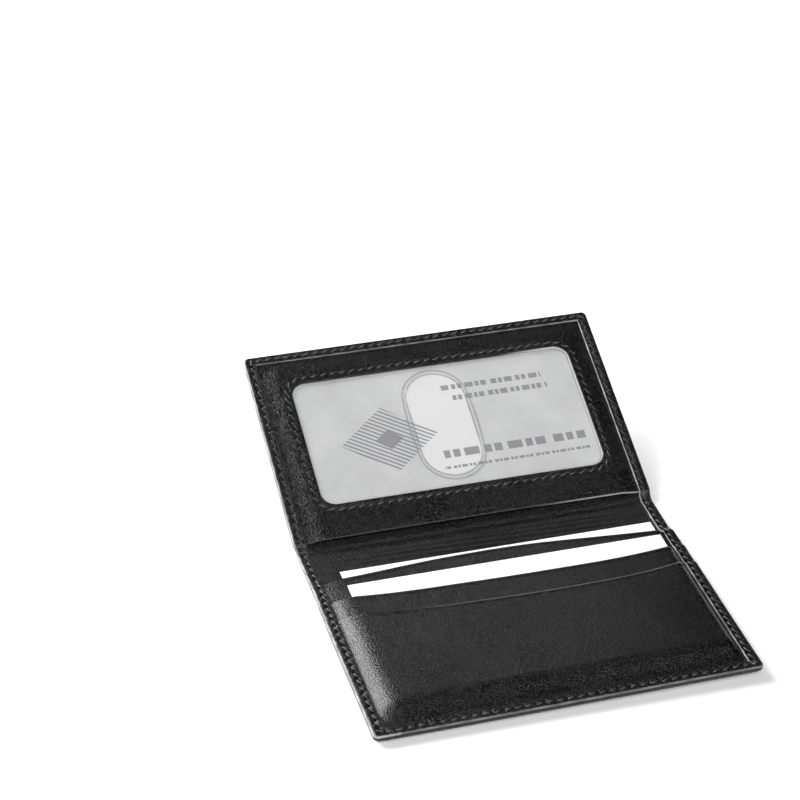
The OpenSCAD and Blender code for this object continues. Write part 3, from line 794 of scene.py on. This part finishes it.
rows = lines(58 * mm, step=0.7)
cols = -1 + 2 * lines(2 * half_w, step=0.8)
gx = cols[:, None] * (half_w - 1.2 * mm) * np.ones_like(rows)[None]
end = pocket_mouth(gx)
gy = front + 0.8 * mm + (end - front - 0.8 * mm) * rows[None]
to_mouth = end - gy
tuck = 0.55 * mm
sunk = tuck * ease((np.abs(gx) - 46.8 * mm) / (1.5 * mm))
sunk = np.maximum(sunk, tuck * ease((front + 5.0 * mm - gy) / (2 * mm)))
on_face = sunk < 0.3 * mm
label_at, label_half = front + 15.5 * mm, np.array([12, 4]) * mm
dx, dy = np.abs(gx) - label_half[0], np.abs(gy - label_at) - label_half[1]
label_line = ease(1 - np.abs(gy - label_at + 1.6 * mm) / (0.3 * mm))
label = ease(-np.maximum(dx, dy) / (0.35 * mm)) * (1 - label_line)
face = sunk + 0.12 * mm * label + 0.5 * hollow(gx, gy, 6.0) * on_face
face = np.maximum(face, 0.0) + rolled(to_mouth, 0.3 * mm)
face = face + 0.07 * mm * np.exp(-(((to_mouth - 1.2 * mm) / (0.2 * mm)) ** 2))
face = face + 0.17 * mm * np.exp(-(((to_mouth - mouth_row_in) / (0.3 * mm)) ** 2)) * on_face
inner = np.maximum(0.5 * mm, face + 0.12 * mm)
inner = np.where(sunk > 0.3 * mm, 1.04 * mm, inner)
pocket = mesh_object("outside_pocket", *skin(np.dstack([gx, gy, inner]), np.dstack([gx, gy, face])),
                     cover_leather)
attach(pocket, "slot_half")
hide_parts("outer_pocket")

# Everything is lock-stitched with a waxed black thread, eight to nine stitches to the inch. Each
# stitch is a short capsule lying in its own dimple, and every row is laid by one node tree.
thread, tree, shader, place = new_material("Waxed thread")
twist = node(tree, "ShaderNodeTexWave", {"Vector": place, "Scale": 700.0, "Distortion": 1.0},
             bands_direction="DIAGONAL")
strands = node(tree, "ShaderNodeBump", {"Height": twist.outputs[0], "Strength": 0.5,
                                        "Distance": 0.00005})
colour = mix_colour(tree, twist.outputs[0], (0.012, 0.012, 0.012, 1), (0.07, 0.07, 0.07, 1))
tree.links.new(colour, shader.inputs["Base Color"])
tree.links.new(strands.outputs[0], shader.inputs["Normal"])
shader.inputs["Roughness"].default_value = 0.3

stitch_length, thread_half, stitch_slant = 2.3 * mm, 0.27 * mm, 0.4
slant_spread = 0.05
stitcher = bpy.data.node_groups.new("Stitch row", "GeometryNodeTree")
stitcher.interface.new_socket("Geometry", in_out="INPUT", socket_type="NodeSocketGeometry")
stitch_settings = {}
for label, value in (("Length", stitch_length), ("Thickness", thread_half), ("Slant", stitch_slant)):
    socket = stitcher.interface.new_socket(label, in_out="INPUT", socket_type="NodeSocketFloat")
    socket.default_value = value
    stitch_settings[label] = socket.identifier
socket = stitcher.interface.new_socket("Seed", in_out="INPUT", socket_type="NodeSocketInt")
stitch_settings["Seed"] = socket.identifier
socket = stitcher.interface.new_socket("Thread", in_out="INPUT", socket_type="NodeSocketMaterial")
stitch_settings["Thread"] = socket.identifier
stitcher.interface.new_socket("Geometry", in_out="OUTPUT", socket_type="NodeSocketGeometry")
s_in, s_out = stitcher.nodes.new("NodeGroupInput"), stitcher.nodes.new("NodeGroupOutput")
ball = node(stitcher, "GeometryNodeMeshUVSphere", {"Segments": 8, "Rings": 6, "Radius": 1.0})
half_length = math_node(stitcher, "MULTIPLY", s_in.outputs["Length"], 0.5)
flattened = math_node(stitcher, "MULTIPLY", s_in.outputs["Thickness"], 0.75)
size = node(stitcher, "ShaderNodeCombineXYZ", {0: half_length, 1: s_in.outputs["Thickness"],
                                               2: flattened})
capsule = node(stitcher, "GeometryNodeTransform", {"Geometry": ball.outputs["Mesh"],
                                                   "Scale": size.outputs[0]})
facing = node(stitcher, "GeometryNodeInputNamedAttribute", {"Name": "facing"}, data_type="FLOAT_VECTOR")
along = node(stitcher, "GeometryNodeInputNamedAttribute", {"Name": "along"}, data_type="FLOAT_VECTOR")
turned = node(stitcher, "FunctionNodeAlignRotationToVector", {"Vector": along.outputs["Attribute"]},
              axis="X")
upright = node(stitcher, "FunctionNodeAlignRotationToVector",
               {"Rotation": turned.outputs[0], "Vector": facing.outputs["Attribute"]},
               axis="Z", pivot_axis="X")
wobble = node(stitcher, "FunctionNodeRandomValue", data_type="FLOAT")
for socket in wobble.inputs:
    if socket.type == "VALUE" and socket.enabled:
        socket.default_value = -slant_spread if socket.name == "Min" else slant_spread
stitcher.links.new(s_in.outputs["Seed"], next(s for s in wobble.inputs if s.name == "Seed"))
lean = math_node(stitcher, "ADD", s_in.outputs["Slant"], next(s for s in wobble.outputs if s.enabled))
about_z = node(stitcher, "ShaderNodeCombineXYZ", {2: lean})
lean_turn = node(stitcher, "FunctionNodeEulerToRotation", {0: about_z.outputs[0]})
whole_turn = node(stitcher, "FunctionNodeRotateRotation",
                  {0: upright.outputs[0], 1: lean_turn.outputs[0]}, rotation_space="LOCAL")
placed = node(stitcher, "GeometryNodeInstanceOnPoints", {"Points": s_in.outputs["Geometry"],
                                                         "Instance": capsule.outputs[0],
                                                         "Rotation": whole_turn.outputs[0]})
real = node(stitcher, "GeometryNodeRealizeInstances", {0: placed.outputs[0]})
painted = node(stitcher, "GeometryNodeSetMaterial", {"Geometry": real.outputs[0],
                                                     "Material": s_in.outputs["Thread"]})
smooth = node(stitcher, "GeometryNodeSetShadeSmooth", {"Geometry": painted.outputs[0]})
stitcher.links.new(smooth.outputs[0], s_out.inputs["Geometry"])


def stitches(name, rows_of_points, replaces, seed, body=None, bend=None):
    """One mesh of stitches, attached to a body, or baked in place like the soft pieces when bend is
    given.
    Each row is (points of the flat strip, which way its stitches face)."""
    at, facing, along = [], [], []
    for points, way in rows_of_points:
        points = np.asarray(points, float)
        step = at_rest(points + [0, 0, way * 0.1 * mm]) - at_rest(points)
        here = at_rest(points)
        at.append(here)
        facing.append(step / np.linalg.norm(step, axis=1)[:, None])
        run = np.gradient(here, axis=0)
        along.append(run / np.linalg.norm(run, axis=1)[:, None])
    at, facing, along = (np.concatenate(a) for a in (at, facing, along))
    mesh = bpy.data.meshes.new(name + "_row")
    mesh.from_pydata(at.tolist(), [], [])
    for label, values in (("facing", facing), ("along", along)):
        mesh.attributes.new(label, "FLOAT_VECTOR", "POINT").data.foreach_set("vector", values.ravel())
    obj = in_scene(name, mesh)
    modifier = obj.modifiers.new("Stitch row", "NODES")
    modifier.node_group = stitcher
    for label, value in (("Length", stitch_length), ("Slant", stitch_slant), ("Seed", seed),
                         ("Thread", thread)):
        modifier[stitch_settings[label]] = value
    made = bpy.data.meshes.new_from_object(obj.evaluated_get(bpy.context.evaluated_depsgraph_get()))
    obj.modifiers.clear()
    obj.data = made
    if bend:
        bends(obj, *bend)
    else:
        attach(obj, body)
    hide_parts(*replaces)


def row_along(path, z_of):
    """Points a stitch's pitch apart along a flat path, at the height z_of gives for each of them."""
    path = np.asarray(path, float)
    run = np.concatenate([[0], np.cumsum(np.linalg.norm(np.diff(path, axis=0), axis=1))])
    count = max(2, round(run[-1] / pitch))
    at = (np.arange(count) + 0.5) * run[-1] / count
    x, y = np.interp(at, run, path[:, 0]), np.interp(at, run, path[:, 1])
    return np.stack([x, y, z_of(x, y)], axis=1)


def stitch_path(y0, y1, end):
    """The stitched line: like the outer edge, but a stitch's width in from it."""
    ys = np.linspace(y1, y0 - end * end_stitch, 400)
    left = np.stack([-(side_edge(ys) - side_stitch), ys], axis=1)
    if not end:
        return left
    across = np.linspace(left[-1, 0], -left[-1, 0], 300)
    edge = np.stack([across, np.full_like(across, left[-1, 1])], axis=1)
    return np.concatenate([left, edge, left[::-1] * [-1, 1]])


def both_faces(path, low_of):
    """The row of stitches along a path on the inside, and the same row on the outside."""
    inside = row_along(path, lambda x, y: border_top(y) + 0.03 * mm)
    outside = row_along(path, lambda x, y: low_of(y) + stitch_sunk)
    return [(inside, 1), (outside, -1)]


stitches("slot_half_stitches", both_faces(stitch_path(front, cut_1, -1), underside), ["lower_seam"], 1,
         bend=("slot_half", "spine_one", fold_1))
left_side = stitch_path(cut_1, cut_2, 0)
stitches("spine_stitches",
         both_faces(left_side, flat_bottom) + both_faces(left_side * [-1, 1], flat_bottom),
         ["spine_seam_one", "spine_seam_two"], 2, bend=("spine_one", "spine_two", fold_2))
stitches("window_half_stitches", both_faces(stitch_path(far, cut_2, 1), flat_bottom), ["upper_seam"], 3,
         bend=("spine_two", "window_half", fold_3))


def on_panel(x, y):
    """Height of the window stitches, just above the panel they hold."""
    return panel_low + (panel_mid - panel_low) * panel_rise(x, y) + panel_t + 0.02 * mm


window_row = rounded_loop(window_w + 2 * row_in, window_h + 2 * row_in, window_r + row_in, 800)
window_row = window_row + [window_x, window_y]
window_row = np.concatenate([window_row, window_row[:1]])
stitches("window_stitches", [(row_along(window_row, on_panel), 1)], ["window_seam"], 4,
         body="window_half")

mouth_x = np.linspace(-(half_w - 6.5 * mm), half_w - 6.5 * mm, 400)
mouth_row = np.stack([mouth_x, pocket_mouth(mouth_x) - mouth_row_in], axis=1)
stitches("pocket_stitches", [(row_along(mouth_row, lambda x, y: np.full_like(x, stitch_sunk)), -1)],
         ["pocket_seam"], 5, body="slot_half")

# The stiffening boards, pocket linings and slot backs are hidden between the leathers; they keep
# their plain shapes and get board and woven cloth surfaces.
board, tree, shader, place = new_material("Grey board")
pulp = noise(tree, place, 900.0, 5.0)
tree.links.new(mix_colour(tree, pulp.outputs[0], (0.2, 0.19, 0.18, 1), (0.32, 0.31, 0.29, 1)),
               shader.inputs["Base Color"])
shader.inputs["Roughness"].default_value = 0.9

cloth, tree, shader, place = new_material("Black lining cloth")
weave_scale = 900.0
weave = node(tree, "ShaderNodeTexWave", {"Vector": place, "Scale": weave_scale}, bands_direction="X")
weft = node(tree, "ShaderNodeTexWave", {"Vector": place, "Scale": weave_scale}, bands_direction="Y")
both = math_node(tree, "MULTIPLY", weave.outputs[1], weft.outputs[1])
relief = node(tree, "ShaderNodeBump", {"Height": both, "Strength": 0.3, "Distance": 0.0001})
tree.links.new(mix_colour(tree, both, (0.01, 0.01, 0.01, 1), (0.03, 0.03, 0.032, 1)),
               shader.inputs["Base Color"])
tree.links.new(relief.outputs[0], shader.inputs["Normal"])
shader.inputs["Roughness"].default_value = 0.8
hidden = {"lower_board": board, "upper_board": board, "lower_lining": cloth, "upper_lining": cloth,
          "slot_a_apron": cloth, "slot_b_apron": cloth}
for name, material in hidden.items():
    part = bpy.data.objects[name]
    for slot in part.material_slots:
        slot.material = material

# A pale studio floor under a dark surround, which keeps black leather black. A big soft light and a
# low strip stand behind and to the left, two small lights give the leather its sheen, and one broad
# light fills from the front.
sweep, tree, shader, place = new_material("Studio floor")
dust = noise(tree, place, 8.0, 3.0)
tree.links.new(mix_colour(tree, dust.outputs[0], (0.9, 0.9, 0.9, 1), (0.93, 0.93, 0.93, 1)),
               shader.inputs["Base Color"])
shader.inputs["Roughness"].default_value = 0.9
wide = 30.0
floor_corners = [(-wide, -wide, 0), (wide, -wide, 0), (wide, wide, 0), (-wide, wide, 0)]
floor_mesh = bpy.data.meshes.new("floor")
floor_mesh.from_pydata(floor_corners, [], [(0, 1, 2, 3)])
floor_mesh.materials.append(sweep)
in_scene("floor", floor_mesh)

world = bpy.data.worlds.new("Studio")
world.use_nodes = True
sky = world.node_tree
view_way = node(sky, "ShaderNodeTexCoord")
height = node(sky, "ShaderNodeSeparateXYZ", {0: view_way.outputs["Generated"]})
glow = node(sky, "ShaderNodeMapRange", {"Value": height.outputs["Z"], "From Min": 0.02, "From Max": 0.1,
                                        "To Min": 0.5, "To Max": 0.02})
sky.links.new(glow.outputs[0], sky.nodes["Background"].inputs["Strength"])
bpy.context.scene.world = world


def stand(right, up, back, at):
    """The matrix of something that stands at a point, from its own three directions."""
    return Matrix(np.vstack([np.column_stack([right, up, back, at]), [0, 0, 0, 1]]))


def area_light(name, at, target, size, watts):
    lamp = bpy.data.lights.new(name, "AREA")
    lamp.shape, lamp.size, lamp.size_y, lamp.energy = "RECTANGLE", size[0], size[1], watts
    obj = in_scene(name, lamp)
    way = np.array(target, float) - at
    way = way / np.linalg.norm(way)
    side = np.cross(way, (0, 0, 1))
    side = side / np.linalg.norm(side)
    obj.matrix_world = stand(side, np.cross(side, way), -way, at)


area_light("key", at=(-0.70, 0.78, 0.72), target=(0, 0.02, 0), size=(0.8, 0.8), watts=26)
area_light("rim", at=(-0.65, 1.15, 0.16), target=(0, 0, 0.02), size=(1.3, 0.24), watts=10)
area_light("sheen", at=(0.30, 0.93, 0.72), target=(0, 0, 0), size=(0.25, 0.25), watts=0.4)
area_light("top sheen", at=(0.076, 0.16, 0.31), target=(0, 0.095, 0.022), size=(0.16, 0.05),
           watts=0.02)
sun = bpy.data.lights.new("front", "SUN")
sun.energy, sun.angle = 3.7, math.radians(70)
front_light = in_scene("front", sun)
front_light.rotation_euler = (math.radians(55), 0, math.radians(8))

azimuth, elevation, roll = (math.radians(a) for a in (-16.757, 33.318, 1.095))
lens = 114.488
eye = np.array([-0.18517, -0.49493, 0.41667])
away = np.array([math.sin(azimuth) * math.cos(elevation), -math.cos(azimuth) * math.cos(elevation),
                 math.sin(elevation)])
flat_right = np.cross(-away, (0, 0, 1))
flat_right = flat_right / np.linalg.norm(flat_right)
flat_up = np.cross(flat_right, -away)
right = math.cos(roll) * flat_right + math.sin(roll) * flat_up
up = np.cross(right, -away)
camera_data = bpy.data.cameras.new("camera")
camera_data.lens = lens
camera_data.sensor_width = 36
camera = in_scene("camera", camera_data)
camera.matrix_world = stand(right, up, away, eye)
bpy.context.scene.camera = camera
bpy.context.scene.view_settings.view_transform = "Standard"
